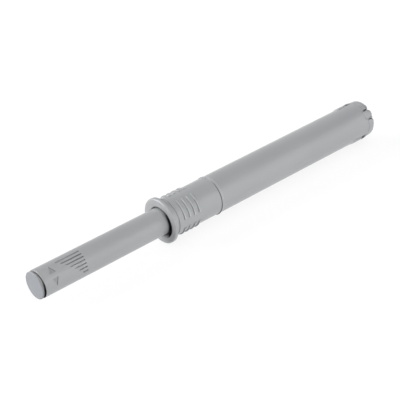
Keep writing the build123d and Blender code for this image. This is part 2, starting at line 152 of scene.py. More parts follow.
# Moulded plastic: flow clouds, a fine speckle, uneven gloss and a spark-eroded grain.
FLOW_SIZE = 9 * MM
FLOW_STRETCH = (0.35, 1, 1)
FLOW_RANGE = (0.35, 0.65)
SPECKLE_SIZE = 0.35 * MM
SPECKLE_SHARE = 0.25
SPECKLE_GLOSS = 0.04
GLOSS_SIZE = 4 * MM
GLOSS_SPREAD = 0.05
GRAIN_STRENGTH = 0.35

# Drawn wire.
DRAWING_SIZE = 0.06 * MM
DRAWING_STRETCH = (0.1, 1, 1)
WIRE_ROUGHNESS = 0.28
DRAWING_ROUGHNESS = 0.15

# Each soft box's name, azimuth and elevation in degrees, and brightness.
SOFT_BOXES = (
    ("right_box", -45, 20, 1.4),
    ("front_box", -90, 20, 3.2),
    ("high_front_box", -90, 55, 2.7),
    ("rear_left_box", 135, 20, 10.7),
    ("rear_right_box", 45, 20, 0.6),
    ("top_box", 0, 90, 2.2),
)
SOFT_BOX_SIZE = 0.5
SOFT_BOX_DISTANCE = 0.7
WORLD_GLOW = 0.02
FLOOR_REACH = 4.0
FLOOR_GLOW = 0.78
FLOOR_CLOUD = 120 * MM
FLOOR_SHADE = 0.97

# The camera that was fitted to the photo's outlines.
CAMERA_SENSOR = 36
CAMERA_LENS = 113.84
CAMERA_CLIP = (0.01, 20)
CAMERA_PLACE = Vector((-151.3, -186.3, 179.7)) * MM
CAMERA_RIGHT = Vector((0.7526, -0.6585, 0.0))
CAMERA_UP = Vector((0.3866, 0.4418, 0.8095))


def length(name, default_mm, description):
    """A size in the sidebar, given here in millimetres."""
    return FloatProperty(
        name=name, default=default_mm * MM, unit="LENGTH", precision=5, description=description
    )


def arc(name, default_degrees, description):
    """An angle in the sidebar, given here in degrees."""
    return FloatProperty(
        name=name, default=radians(default_degrees), subtype="ANGLE", description=description
    )


def colour(name, default, description):
    """A colour in the sidebar."""
    return FloatVectorProperty(
        name=name, default=default, size=4, min=0, max=1, subtype="COLOR", description=description
    )


class SleeveSizes(bpy.types.PropertyGroup):
    wall: length("Wall", 0.52, "Thickness of the plunger sleeve at its rear end")
    draft: length("Draft", 0.10, "How much thinner the sleeve's radius is at its rear end")
    edge_round: length("Edge round", 0.15, "Rounding of the sleeve's front edge")
    ring_x: length("Ring groove", 16.0, "From the sleeve's front edge to the groove for the core's ring")
    ring_width: length("Ring groove width", 0.94, "Width of the groove for the core's ring")
    ring_depth: length("Ring groove depth", 0.16, "Depth of the groove for the core's ring")
    mark_depth: length("Mark depth", 0.20, "Depth of the arrowheads")
    mark_soft: length("Mark softness", 0.03, "Width of the slope at the edge of a mark")
    mark_step: length("Mark step", 0.045, "Size of the mesh's faces in the arrowheads")
    arrow_x: length("Arrow place", 3.0, "From the sleeve's front edge to the middle of the arrowheads")
    arrow_length: length("Arrow width", 1.5, "Width of an arrowhead along the latch")
    arrow_base: length("Arrow base", 0.65, "From the middle line to an arrowhead's base")
    arrow_point: length("Arrow point", 2.3, "From the middle line to an arrowhead's point")
    grooves: IntProperty(name="Grooves", default=7, min=2, max=9, description="Grooves in the wedge")
    groove_width: length("Groove width", 0.24, "Width of a groove")
    groove_pitch: length("Groove pitch", 0.80, "Distance between two grooves")
    groove_end: length("Groove end", 11.5, "From the sleeve's front edge to the grooves' rear ends")
    groove_longest: length("Longest groove", 6.5, "Length of the upper groove")
    groove_step: length("Groove step", 0.85, "How much shorter the next groove is")
    groove_shallow: length("Shallow end", 0.22, "Depth of a groove at its front end")
    groove_deep: length("Deep end", 0.32, "Depth of a groove at its rear end")
    # These three sizes place painted shade on the sleeve: over its front end in the gap behind the disc, and
    # from the throat inwards, where the flange's mouth shades it.
    painted_shade_front: length("Front film", 0.05, "How much of the front end carries a dark film")
    painted_shade_rear: length("Rear film", 35.2, "From the sleeve's front edge to the greased part")
    painted_shade_fade: length("Film fade", 0.6, "How long the grease takes to fade out")


class TipSizes(bpy.types.PropertyGroup):
    disc: length("Disc", 0.42, "Thickness of the buffer disc")
    disc_round: length("Disc round", 0.17, "Rounding of the disc's front edge")
    stem: length("Stem", 0.98, "Radius of the buffer's stem")
    gap: length("Gap", 0.31, "Gap between the buffer disc and the sleeve")
    bore: length("Screw bore", 1.90, "Radius inside the reach screw, clear of the key's corners")
    front_wall: length("Screw front wall", 1.25, "Wall of the reach screw behind the disc")
    thread_pitch: length("Thread pitch", 1.0, "Distance between two turns of the two-start thread")
    thread_depth: length("Thread depth", 0.32, "Depth of the thread")


class CollarSizes(bpy.types.PropertyGroup):
    wall: length("Wall", 0.73, "Wall of the collar sleeve")
    outer: length("Radius", 4.83, "Outer radius of the collar sleeve")
    throat: length("Throat", 3.60, "Radius of the throat that the plunger slides through")
    throat_length: length("Throat length", 1.7, "Length of the throat from the flange's front")
    flange: length("Flange", 1.0, "Thickness of the flange")
    front_round: length("Front rim", 0.40, "Rounding of the flange's front rim")
    mouth_round: length("Mouth", 0.90, "Rounding of the throat's mouth")
    mouth_less: FloatProperty(
        name="Mouth less", default=0.85, subtype="FACTOR", min=0, max=1,
        description="How much the mouth's rounding shrinks on the side away from the film",
    )
    mouth_near: length("Mouth near", 0.13, "How much nearer the throat is on that side")
    # These three sizes place painted shade in the flange's mouth: within a radius, shifted to one side, and
    # fading out.
    painted_shade: length("Film", 4.05, "Radius within which the mouth carries a dark film")
    painted_shade_shift: length("Film shift", 0.60, "How far the film in the mouth lies to one side")
    painted_shade_fade: length("Film fade", 0.25, "How long the film in the mouth takes to fade out")
    neck_length: length("Neck length", 1.35, "Length of the neck behind the flange")
    neck_depth: length("Neck depth", 0.18, "Depth of the neck behind the flange")
    relief: length("Relief", 0.12, "Depth of the relief in the flange's back")
    relief_proud: length("Relief width", 0.15, "How far the relief reaches past the sleeve")
    lip_length: length("Lip length", 0.32, "Length of the lip at the seam")
    lip_proud: length("Lip height", 0.18, "How far the lip stands proud")
    ribs: IntProperty(name="Rib rows", default=4, min=1, max=6, description="Rows of crush ribs in a group")
    groups: IntProperty(name="Rib groups", default=4, min=2, max=6, description="Groups of crush ribs")
    rib_x: length("First rib", 2.85, "From the flange's seat to the first row of ribs")
    rib_pitch: length("Rib pitch", 1.5, "Distance between two rows of ribs")
    rib_proud: length("Rib height", 0.29, "How far a rib stands proud")
    rib_crest: length("Rib crest", 0.14, "Width of a rib's crest")
    rib_ramp: length("Rib ramp", 0.80, "Length of the slope behind a rib's crest")
    rib_span: arc("Rib span", 60, "Angle that one rib covers")


class TubeSizes(bpy.types.PropertyGroup):
    bore: length("Bore", 3.95, "Radius of the tube's bore")
    guide: length("Guide bore", 3.55, "Radius of the bore that guides the plunger")
    nose: length("Nose", 4.05, "Outer radius of the nose inside the collar")
    shoulder_x: length("Shoulder", 14.95, "From the flange's seat to the tube's shoulder")
    shoulder_round: length("Shoulder round", 0.15, "Rounding of the tube's front edge, at the seam")
    stop_x: length("Stop", 15.9, "From the flange's seat to the plunger's stop")
    pad_length: length("Pad length", 5.5, "Length of a tail pad")
    pad_ramp: length("Pad ramp", 1.1, "Length of the slope in front of a tail pad")
    pad_back: length("Pad back", 0.15, "From a tail pad to the tube's end")
    pad_proud: length("Pad height", 0.20, "How far a tail pad stands proud")
    pad_half: arc("Pad half", 20, "Half a pad's angle")
    window_back: length("Window back", 1.0, "From a snap window to the tube's end")
    window_length: length("Window length", 1.2, "Length of a snap window")
    window_half: arc("Window half", 22, "Half a snap window's angle")
    notch: length("Notch", 0.75, "Depth of the notch for a key tab")
    notch_half: arc("Notch half", 13.2, "Half a notch's angle")


class CapSizes(bpy.types.PropertyGroup):
    edge_round: length("Edge round", 0.85, "Rounding of the cap's rear edge")
    plug: length("Plug", 3.91, "Radius of the plug inside the tube")
    plug_length: length("Plug length", 3.0, "Length of the plug inside the tube")
    boss: length("Boss", 3.0, "Radius of the boss that centres the spring")
    socket: length("Socket", 2.07, "Radius of the socket for the cam rod")
    socket_wall: length("Socket wall", 0.78, "Wall behind the socket")
    recess: length("Recess", 2.6, "Radius of the recess in the rear face")
    recess_depth: length("Recess depth", 0.3, "Depth of the recess in the rear face")
    tab_half: arc("Tab half", 12, "Half a tab's angle")
    tab_proud: length("Tab height", 0.06, "How far a key tab stands proud")
    tab_key: length("Tab key", 0.7, "How far a key tab reaches into the tube")
    lobe_round: length("Lobe round", 0.6, "How far the rear rim is drawn in beside a slot")
    lobe_reach: arc("Lobe reach", 9, "Angle along which the rim is drawn in")
    slot_width: length("Slot width", 0.5, "Width of a slot beside a tab")
    slot_depth: length("Slot depth", 1.2, "Depth of the deeper slot beside a tab")
    slot_shallow: length("Shallow slot", 0.5, "Depth of the shallower slot beside a tab")
    hook: length("Hook", 4.98, "Radius of a snap hook's crest")
    hook_crest: length("Hook crest", 0.3, "Length of a snap hook's crest")
    hook_play: length("Hook play", 0.06, "Room of a snap hook in its window")
    hook_half: arc("Hook half", 17, "Half a hook's angle")


class SpringSizes(bpy.types.PropertyGroup):
    wire: length("Wire", 0.25, "Radius of the spring's wire")
    turns: IntProperty(name="Turns", default=11, min=4, max=20, description="Free turns of the spring")


class LatchColours(bpy.types.PropertyGroup):
    plastic: colour("Plastic", (0.285, 0.291, 0.299, 1), "Grey moulded plastic")
    plastic_shade: colour("Plastic shade", (0.262, 0.268, 0.276, 1), "Darker flow marks of the grey plastic")
    buffer: colour("Buffer", (0.222, 0.231, 0.247, 1), "Soft disc that the door rests on")
    buffer_shade: colour("Buffer shade", (0.200, 0.209, 0.225, 1), "Darker part of the disc")
    inner: colour("Inner plastic", (0.68, 0.67, 0.63, 1), "Natural plastic of the hidden pieces")
    inner_shade: colour("Inner shade", (0.60, 0.59, 0.55, 1), "Darker part of the hidden pieces")
    wire: colour("Wire", (0.60, 0.60, 0.61, 1), "Drawn steel wire")
    wire_shade: colour("Wire shade", (0.42, 0.42, 0.44, 1), "Drawing marks of the wire")
    # Colour of the painted shade in the mouth, in the gap behind the disc, at the lip's foot and on the
    # hooks.
    painted_shade: colour("Film", (0.012, 0.012, 0.014, 1), "Dark film of grease in the gaps")
    floor: colour("Floor", (0.20, 0.20, 0.20, 1), "Floor under the latch, which also glows")


class Wire:
    """One socket of a material, so that shader maths reads as an expression."""

    def __init__(self, finish, socket):
        self.finish = finish
        self.socket = socket

    def maths(self, operation, first, second):
        return self.finish.node("ShaderNodeMath", {"operation": operation}, {0: first, 1: second})

    def __add__(self, other):
        return self.maths("ADD", self, other)

    def __radd__(self, other):
        return self.maths("ADD", other, self)

    def __sub__(self, other):
        return self.maths("SUBTRACT", self, other)

    def __rsub__(self, other):
        return self.maths("SUBTRACT", other, self)

    def __mul__(self, other):
        return self.maths("MULTIPLY", self, other)

    def __rmul__(self, other):
        return self.maths("MULTIPLY", other, self)


class Finish:
    """A material with a Principled shader, built node by node."""

    def __init__(self, name, **constants):
        self.material = bpy.data.materials.new(name)
        self.material.use_nodes = True
        self.tree = self.material.node_tree
        self.tree.nodes.clear()
        self.shader = self.tree.nodes.new("ShaderNodeBsdfPrincipled")
        self.surface = self.tree.nodes.new("ShaderNodeOutputMaterial").inputs["Surface"]
        self.tree.links.new(self.shader.outputs["BSDF"], self.surface)
        for socket, value in constants.items():
            self.shader.inputs[socket.replace("_", " ")].default_value = value

    def node(self, kind, settings=None, sockets=None, output=0):
        made = self.tree.nodes.new(kind)
        for name, value in (settings or {}).items():
            if name == "stops":
                for stop, (place, level) in zip(made.color_ramp.elements, value):
                    stop.position = place
                    stop.color = (level, level, level, 1)
            else:
                setattr(made, name, value)
        for key, value in (sockets or {}).items():
            if isinstance(value, Wire):
                self.tree.links.new(value.socket, made.inputs[key])
            else:
                made.inputs[key].default_value = value
        return Wire(self, made.outputs[output])

    def place(self):
        return self.node("ShaderNodeTexCoord", output="Object")

    def coordinates(self):
        """The place's x, y and z, in metres."""
        place = {"Vector": self.place()}
        return [self.node("ShaderNodeSeparateXYZ", None, place, output=axis) for axis in "XYZ"]

    def radius(self, y, z):
        """Distance from the latch's axis."""
        flat = self.node("ShaderNodeCombineXYZ", None, {"Y": y, "Z": z})
        return self.node("ShaderNodeVectorMath", {"operation": "LENGTH"}, {0: flat}, output="Value")

    def noise(self, size, detail=2.0, stretch=(1, 1, 1)):
        """Soft noise whose lumps are about this large, in metres."""
        scaled = self.node(
            "ShaderNodeMapping", {"vector_type": "POINT"}, {"Vector": self.place(), "Scale": stretch}
        )
        return self.node("ShaderNodeTexNoise", None, {"Vector": scaled, "Scale": 1 / size, "Detail": detail})

    def mix(self, factor, first, second):
        colours = {0: factor, 6: first, 7: second}
        return self.node("ShaderNodeMix", {"data_type": "RGBA"}, colours, output=2)

    def ease(self, value, low, high):
        """0 below low and 1 above high, with a smooth step between them."""
        sockets = {"Value": value, "From Min": low, "From Max": high}
        return self.node("ShaderNodeMapRange", {"interpolation_type": "SMOOTHSTEP"}, sockets)

    def contrast(self, value, low, high):
        """The value's range from low to high, spread from 0 to 1."""
        return self.node("ShaderNodeValToRGB", {"stops": ((low, 0), (high, 1))}, {"Fac": value})

    def bump(self, height, distance, strength):
        sockets = {"Height": height, "Distance": distance, "Strength": strength}
        return self.node("ShaderNodeBump", None, sockets, output="Normal")

    def feed(self, socket, wire):
        self.tree.links.new(wire.socket, self.shader.inputs[socket])

    def cover(self, share, tint):
        """Paints shade over the surface as a dull layer of one colour, by the given share."""
        painted_shade = {"Base Color": tint, "Roughness": 1.0, "Specular IOR Level": 0.0}
        layers = {
            0: share,
            1: Wire(self, self.shader.outputs["BSDF"]),
            2: self.node("ShaderNodeBsdfPrincipled", None, painted_shade),
        }
        shaded_surface = self.node("ShaderNodeMixShader", None, layers)
        self.tree.links.new(shaded_surface.socket, self.surface)


def toned(tint, tone):
    """The colour, made lighter or darker."""
    return tuple(tone * part for part in tint[:3]) + (1,)


def moulded_plastic(name, light, shade, rough, grain_size, grain_height, painted_shade=None, painted_light=None, painted_light_tone=1):
    """Satin injection-moulded plastic: faint flow clouds, a fine spark-eroded grain and uneven gloss.
    painted_shade and painted_light take the finish, and give the share of a painted dark shade and of a
    painted shade or highlight of another tone."""
    finish = Finish(name, IOR=1.5)
    flow = finish.contrast(finish.noise(FLOW_SIZE, 3.0, FLOW_STRETCH), *FLOW_RANGE)
    speckle = finish.noise(SPECKLE_SIZE)
    clouds = (1 - SPECKLE_SHARE) * flow + SPECKLE_SHARE * speckle
    tint = finish.mix(clouds, tuple(shade), tuple(light))
    # A painted shade or painted highlight of another tone.
    if painted_light:
        tint = finish.mix(painted_light(finish), tint, toned(shade, painted_light_tone))
    finish.feed("Base Color", tint)
    gloss = finish.noise(GLOSS_SIZE)
    finish.feed("Roughness", rough + GLOSS_SPREAD * (gloss - 0.5) + SPECKLE_GLOSS * (speckle - 0.5))
    finish.feed("Normal", finish.bump(finish.noise(grain_size), grain_height, GRAIN_STRENGTH))
    # Painted shade laid over the plastic, by the given share.
    if painted_shade:
        finish.cover(painted_shade(finish), tuple(bpy.context.scene.latch_colours.painted_shade))
    return finish.material


def painted_shade_side(finish, y, z, side, low, high):
    """1 on the side of the latch where the painted shade lies, and 0 on the other side."""
    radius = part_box("plunger_sleeve")[1].z
    across = (y * cos(radians(side)) + z * sin(radians(side))) * (1 / radius)
    return finish.ease(across, low, high)


def sleeve_painted_shade(finish):
    """Painted shade on the sleeve's front end, behind the disc, and from the throat inwards."""
    sizes = bpy.context.scene.latch_sleeve
    x, y, z = finish.coordinates()
    front_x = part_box("plunger_sleeve")[0].x
    front = 1 - finish.ease(x, front_x + sizes.painted_shade_front / 2, front_x + sizes.painted_shade_front)
    rear_x = front_x + sizes.painted_shade_rear
    rear = finish.ease(x, rear_x - sizes.painted_shade_fade / 2, rear_x + sizes.painted_shade_fade / 2)
    gap = SLEEVE_PAINTED_SHADE_LEAST + (1 - SLEEVE_PAINTED_SHADE_LEAST) * painted_shade_side(finish, y, z, *GAP_PAINTED_SHADE)
    return front * gap + rear * painted_shade_side(finish, y, z, *MOUTH_PAINTED_SHADE)


def screw_painted_shade(finish):
    """Painted shade on the reach screw's front end, in the gap behind the disc."""
    x, y, z = finish.coordinates()
    gap_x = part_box("plunger_sleeve")[0].x
    ahead = 1 - finish.ease(x, gap_x, gap_x + 2 * PAINTED_SHADE_EDGE)
    return ahead * (SCREW_PAINTED_SHADE_LEAST + (1 - SCREW_PAINTED_SHADE_LEAST) * painted_shade_side(finish, y, z, *GAP_PAINTED_SHADE))


def collar_painted_shade(finish):
    """Painted shade in the flange's mouth, but not on the neck, and a painted shade line at the foot of the
    lip.
    """
    sizes = bpy.context.scene.latch_collar
    low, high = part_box("collar_bush")
    x, y, z = finish.coordinates()
    side = radians(MOUTH_PAINTED_SHADE[0])
    radius = finish.radius(y - sizes.painted_shade_shift * cos(side), z - sizes.painted_shade_shift * sin(side))
    inside = 1 - finish.ease(radius, sizes.painted_shade - sizes.painted_shade_fade / 2, sizes.painted_shade + sizes.painted_shade_fade / 2)
    mouth_x = low.x + sizes.mouth_round
    neck_r = sizes.outer - sizes.neck_depth - PAINTED_SHADE_SKIN
    neck = finish.ease(x, mouth_x - 2 * PAINTED_SHADE_EDGE, mouth_x - PAINTED_SHADE_EDGE)
    neck = neck * finish.ease(finish.radius(y, z), neck_r - 2 * PAINTED_SHADE_EDGE, neck_r)
    mouth = inside * (1 - neck) * painted_shade_side(finish, y, z, *MOUTH_PAINTED_SHADE)
    # A painted shade line in the crease at the lip's foot, on one side.
    lip_x = high.x - sizes.lip_length
    behind = finish.ease(x, lip_x - 3 * LIP_SHADE_LINE, lip_x - LIP_SHADE_LINE)
    before = 1 - finish.ease(x, lip_x + LIP_SHADE_LINE / 2, lip_x + LIP_SHADE_LINE)
    return mouth + LIP_PAINTED_SHADE_MOST * behind * before * painted_shade_side(finish, y, z, *LIP_PAINTED_SHADE)


def hook_painted_shade(finish):
    """Painted shade on the snap hooks' crests, in the windows."""
    sizes = bpy.context.scene.latch_cap
    x, y, z = finish.coordinates()
    crest_r = sizes.plug + PAINTED_SHADE_SKIN
    crest = finish.ease(finish.radius(y, z), crest_r, crest_r + 2 * PAINTED_SHADE_EDGE)
    window_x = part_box("housing_tube")[1].x - bpy.context.scene.latch_tube.window_back
    return HOOK_PAINTED_SHADE_MOST * crest * (1 - finish.ease(x, window_x, window_x + PAINTED_SHADE_EDGE))


def rib_crest_highlight(finish):
    """1 on the crests of the ribs, which carry a painted highlight, and 0 below them."""
    sizes = bpy.context.scene.latch_collar
    y, z = finish.coordinates()[1:]
    crest = sizes.outer + sizes.rib_proud
    return finish.ease(finish.radius(y, z), crest - 3 * CREST_HIGHLIGHT_REACH, crest - CREST_HIGHLIGHT_REACH)


def seam_edge_highlight(finish):
    """1 on the tube's front edge at the seam, which carries a painted highlight, and 0 behind it."""
    edge_x = bpy.context.scene.latch_tube.shoulder_x
    x = finish.coordinates()[0]
    return 1 - finish.ease(x, edge_x + SEAM_HIGHLIGHT_REACH[0], edge_x + SEAM_HIGHLIGHT_REACH[1])


def mark_floor_shade(finish):
    """1 on the floors of the sleeve's marks, which carry painted shade, and 0 on its skin."""
    low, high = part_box("plunger_sleeve")
    sizes = bpy.context.scene.latch_sleeve
    x, y, z = finish.coordinates()
    skin = high.z - (x - low.x) * (sizes.draft / (high.x - low.x))
    below = skin - finish.radius(y, z)
    behind_edge = finish.ease(x, low.x + 2 * sizes.edge_round, low.x + 3 * sizes.edge_round)
    return finish.ease(below, sizes.mark_depth / 2, 1.5 * sizes.mark_depth) * behind_edge


# The roughness, and the size and height of the grain, of each plastic.
PLASTICS = {
    "plastic": (0.30, 0.09 * MM, 0.004 * MM),
    "buffer": (0.55, 0.14 * MM, 0.006 * MM),
    "inner": (0.38, 0.12 * MM, 0.004 * MM),
}

# The plastic of each moulded finish, and the painted shade and the painted shade or highlight of another tone
# on it.
MOULDINGS = {
    "sleeve_moulding": ("plastic", {"painted_shade": sleeve_painted_shade, "painted_light": mark_floor_shade, "painted_light_tone": MARK_SHADE_TONE}),
    "collar_moulding": ("plastic", {"painted_shade": collar_painted_shade}),
    "rib_moulding": ("plastic", {"painted_light": rib_crest_highlight, "painted_light_tone": CREST_HIGHLIGHT_TONE}),
    "tube_moulding": ("plastic", {"painted_light": seam_edge_highlight, "painted_light_tone": SEAM_HIGHLIGHT_TONE}),
    "cap_moulding": ("plastic", {"painted_shade": hook_painted_shade}),
    "soft_disc": ("buffer", {}),
    "screw_moulding": ("inner", {"painted_shade": screw_painted_shade}),
    "natural_moulding": ("inner", {}),
}


def drawn_wire(name, light, shade):
    """Cold drawn spring wire with fine lengthwise marks."""
    finish = Finish(name, Metallic=1.0)
    marks = finish.noise(DRAWING_SIZE, 3.0, DRAWING_STRETCH)
    finish.feed("Base Color", finish.mix(marks, tuple(shade), tuple(light)))
    finish.feed("Roughness", WIRE_ROUGHNESS + DRAWING_ROUGHNESS * marks)
    return finish.material


def rounded(corners):
    """Outline through (x, r, round) corners, with an arc and support points at each rounded one."""
    outline = []
    count = len(corners)
    for number, (x, r, radius) in enumerate(corners):
        here = Vector((x, r))
        before = Vector(corners[number - 1][:2]) - here
        after = Vector(corners[(number + 1) % count][:2]) - here
        if radius <= 0:
            outline.append((x, r))
            continue
        before_way, after_way = before.normalized(), after.normalized()
        half = before_way.angle(after_way) / 2
        reach = radius / tan(half)
        centre = here + (before_way + after_way).normalized() * (radius / sin(half))
        start, end = here + before_way * reach, here + after_way * reach
        if before.length > 2 * (reach + SUPPORT):
            outline.append(tuple(start + before_way * SUPPORT))
        first = atan2(start.y - centre.y, start.x - centre.x)
        turn = atan2(end.y - centre.y, end.x - centre.x) - first
        turn = (turn + pi) % (2 * pi) - pi
        steps = max(LEAST_ARC_STEPS, round(radius * abs(turn) / ARC_STEP))
        for step in range(steps + 1):
            angle = first + turn * step / steps
            outline.append((centre.x + radius * cos(angle), centre.y + radius * sin(angle)))
        if after.length > 2 * (reach + SUPPORT):
            outline.append(tuple(end + after_way * SUPPORT))
    return outline


def cut_at(outline, places, above):
    """The outline with a point at each of these places along X, on its runs further out than a radius."""
    result = []
    for (x, r), (next_x, next_r) in zip(outline, outline[1:] + outline[:1]):
        result.append((x, r))
        if min(r, next_r) < above:
            continue
        first, last = min(x, next_x) + MERGE, max(x, next_x) - MERGE
        inside = [place for place in places if first < place < last]
        for place in sorted(inside, reverse=next_x < x):
            share = (place - x) / (next_x - x)
            result.append((place, r + share * (next_r - r)))
    return result


def even_angles(count):
    return [2 * pi * step / count for step in range(count)]


def merged_angles(angles):
    """The angles in order, within one turn, without near doubles."""
    ordered = sorted(angle % (2 * pi) for angle in angles)
    kept = []
    for angle in ordered:
        if not kept or angle - kept[-1] > SAME_ANGLE:
            kept.append(angle)
    return kept


def wall_angles(middles, half, radius):
    """Two angles close together at each side of each sector, so that its walls stand up."""
    small = WALL_TURN / radius
    return [
        radians(middle) + way * half + near * small
        for middle in middles
        for way in (-1, 1)
        for near in (-1, 1)
    ]


def aside(angle, middle):
    """How far the angle lies from a sector's middle, which is in degrees."""
    return abs((angle - radians(middle) + pi) % (2 * pi) - pi)


def inside_sector(angle, middles, half):
    """Whether the angle lies in one of the sectors about these middles, which are in degrees."""
    return any(aside(angle, middle) < half for middle in middles)


def held(value):
    """The value, held between 0 and 1."""
    return min(1, max(0, value))


def turned(name, outline, angles, warp=None, openings=(), whole=True):
    """A piece turned about X from an outline of (x, r) points, with a face at each end if it isn't whole.
    warp moves each point. An opening is (x from, x to, middle in degrees, half angle), and is cut through
    a wall with points at its edges."""
    mesh = bpy.data.meshes.new(name)
    work = bmesh.new()
    rings = []
    for angle in angles:
        ring = []
        for x, r in outline:
            if warp:
                x, r = warp(x, r, angle)
            ring.append(work.verts.new((x, r * cos(angle), r * sin(angle))))
        rings.append(ring)
    for ring, following in zip(rings, rings[1:] + rings[:1] if whole else rings[1:]):
        for point in range(len(outline)):
            other = (point + 1) % len(outline)
            work.faces.new((ring[point], ring[other], following[other], following[point]))
    if not whole:
        work.faces.new(rings[0])
        work.faces.new(reversed(rings[-1]))
    bmesh.ops.remove_doubles(work, verts=work.verts, dist=MERGE)
    bmesh.ops.dissolve_degenerate(work, edges=work.edges, dist=MERGE / 2)
    for opening in openings:
        cut_opening(work, *opening)
    bmesh.ops.recalc_face_normals(work, faces=work.faces)
    work.to_mesh(mesh)
    work.free()
    return finished(name, mesh)


def cut_opening(work, from_x, to_x, middle, half):
    """Takes the faces of one window out of both sides of a wall, and closes its four sides."""
    gone = []
    for face in work.faces:
        centre = face.calc_center_median()
        if from_x < centre.x < to_x and aside(atan2(centre.z, centre.y), middle) < half:
            gone.append(face)
    bmesh.ops.delete(work, geom=gone, context="FACES")
    rims = [edge for edge in work.edges if edge.is_boundary]
    bmesh.ops.bridge_loops(work, edges=rims)


def finished(name, mesh):
    """The mesh as an object in the scene, smooth but for its sharp edges."""
    mesh.shade_smooth()
    mesh.set_sharp_from_angle(angle=radians(SHARP_FROM))
    piece = bpy.data.objects.new(name, mesh)
    bpy.context.scene.collection.objects.link(piece)
    return piece


def dress(piece, body, finish, slot_name, *nodes):
    """Gives the piece its finish and its body, and lets it stand for CAD nodes."""
    piece.data.materials.clear()
    piece.data.materials.append(material(finish))
    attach(piece, body)
    if nodes:
        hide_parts(*nodes)


def material(name):
    """The named finish, made when it is first asked for."""
    if name in bpy.data.materials:
        return bpy.data.materials[name]
    tints = bpy.context.scene.latch_colours
    if name == "drawn_steel":
        return drawn_wire(name, tints.wire, tints.wire_shade)
    plastic, dressing = MOULDINGS[name]
    light, shade = getattr(tints, plastic), getattr(tints, plastic + "_shade")
    return moulded_plastic(name, light, shade, *PLASTICS[plastic], **dressing)


def geometry_tree(name, inputs, nodes, links):
    """Geometry Nodes made from the kinds of the named inputs, from nodes, each with its kind, settings and
    fixed values, and from links. The tree ends in Realize Instances, here called real, and Set Material."""
    tree = bpy.data.node_groups.new(name, "GeometryNodeTree")
    for label, kind in {"Geometry": "Geometry", **inputs, "Material": "Material"}.items():
        tree.interface.new_socket(label, in_out="INPUT", socket_type="NodeSocket" + kind)
    tree.interface.new_socket("Geometry", in_out="OUTPUT", socket_type="NodeSocketGeometry")
    ends = {
        "given": ("NodeGroupInput", {}, {}),
        "real": ("GeometryNodeRealizeInstances", {}, {}),
        "paint": ("GeometryNodeSetMaterial", {}, {}),
        "result": ("NodeGroupOutput", {}, {}),
    }
    made = {}
    for label, (kind, settings, values) in {**nodes, **ends}.items():
        made[label] = tree.nodes.new(kind)
        for setting, value in settings.items():
            setattr(made[label], setting, value)
        for socket, value in values.items():
            made[label].inputs[socket].default_value = value
    last = (
        ("real", "Geometry", "paint", "Geometry"),
        ("given", "Material", "paint", "Material"),
        ("paint", "Geometry", "result", "Geometry"),
    )
    for source, output, target, socket in links + last:
        tree.links.new(made[source].outputs[output], made[target].inputs[socket])
    return tree


def repeat_tree():
    """Geometry Nodes that repeat the piece they are given in rows along X and in groups round X."""
    nodes = {
        "step": ("ShaderNodeCombineXYZ", {}, {}),
        "row": ("GeometryNodeMeshLine", {}, {}),
        "along": ("GeometryNodeInstanceOnPoints", {}, {}),
        "group": ("GeometryNodeMeshLine", {}, {"Offset": (0, 0, 0)}),
        "number": ("GeometryNodeInputIndex", {}, {}),
        "share": ("ShaderNodeMath", {"operation": "DIVIDE"}, {0: 2 * pi}),
        "angle": ("ShaderNodeMath", {"operation": "MULTIPLY"}, {}),
        "turn": ("ShaderNodeCombineXYZ", {}, {}),
        "around": ("GeometryNodeInstanceOnPoints", {}, {}),
    }
    links = (
        ("given", "Pitch", "step", "X"),
        ("given", "Rows", "row", "Count"),
        ("step", "Vector", "row", "Offset"),
        ("row", "Mesh", "along", "Points"),
        ("given", "Geometry", "along", "Instance"),
        ("given", "Groups", "group", "Count"),
        ("given", "Groups", "share", 1),
        ("number", "Index", "angle", 0),
        ("share", "Value", "angle", 1),
        ("angle", "Value", "turn", "X"),
        ("group", "Mesh", "around", "Points"),
        ("along", "Instances", "around", "Instance"),
        ("turn", "Vector", "around", "Rotation"),
        ("around", "Instances", "real", "Geometry"),
    )
    return geometry_tree("Rows and groups", {"Rows": "Int", "Pitch": "Float", "Groups": "Int"}, nodes, links)


def coil_tree():
    """Geometry Nodes that wind a round wire about X."""
    inputs = {"Turns": "Float", "Length": "Float", "Radius": "Float", "Wire": "Float", "Start": "Vector"}
    nodes = {
        "spiral": ("GeometryNodeCurveSpiral", {}, {"Resolution": COIL_STEPS}),
        "circle": ("GeometryNodeCurvePrimitiveCircle", {}, {"Resolution": WIRE_STEPS}),
        "wind": ("GeometryNodeCurveToMesh", {}, {"Fill Caps": True}),
        "lay": ("GeometryNodeTransform", {}, {"Rotation": (0, pi / 2, 0)}),
        "smooth": ("GeometryNodeSetShadeSmooth", {}, {}),
    }
    links = (
        ("given", "Turns", "spiral", "Rotations"),
        ("given", "Length", "spiral", "Height"),
        ("given", "Radius", "spiral", "Start Radius"),
        ("given", "Radius", "spiral", "End Radius"),
        ("given", "Wire", "circle", "Radius"),
        ("spiral", "Curve", "wind", "Curve"),
        ("circle", "Curve", "wind", "Profile Curve"),
        ("wind", "Mesh", "lay", "Geometry"),
        ("given", "Start", "lay", "Translation"),
        ("lay", "Geometry", "smooth", "Geometry"),
        ("smooth", "Geometry", "real", "Geometry"),
    )
    return geometry_tree("Coil spring", inputs, nodes, links)


def run_tree(piece, tree, **values):
    """Runs the tree on the piece and leaves its result as the piece's plain mesh."""
    modifier = piece.modifiers.new(tree.name, "NODES")
    modifier.node_group = tree
    for item in tree.interface.items_tree:
        if item.in_out == "INPUT" and item.name in values:
            modifier[item.identifier] = values[item.name]
    bpy.context.view_layer.update()
    evaluated = piece.evaluated_get(bpy.context.evaluated_depsgraph_get())
    made = bpy.data.meshes.new_from_object(evaluated)
    piece.modifiers.remove(modifier)
    piece.data = made


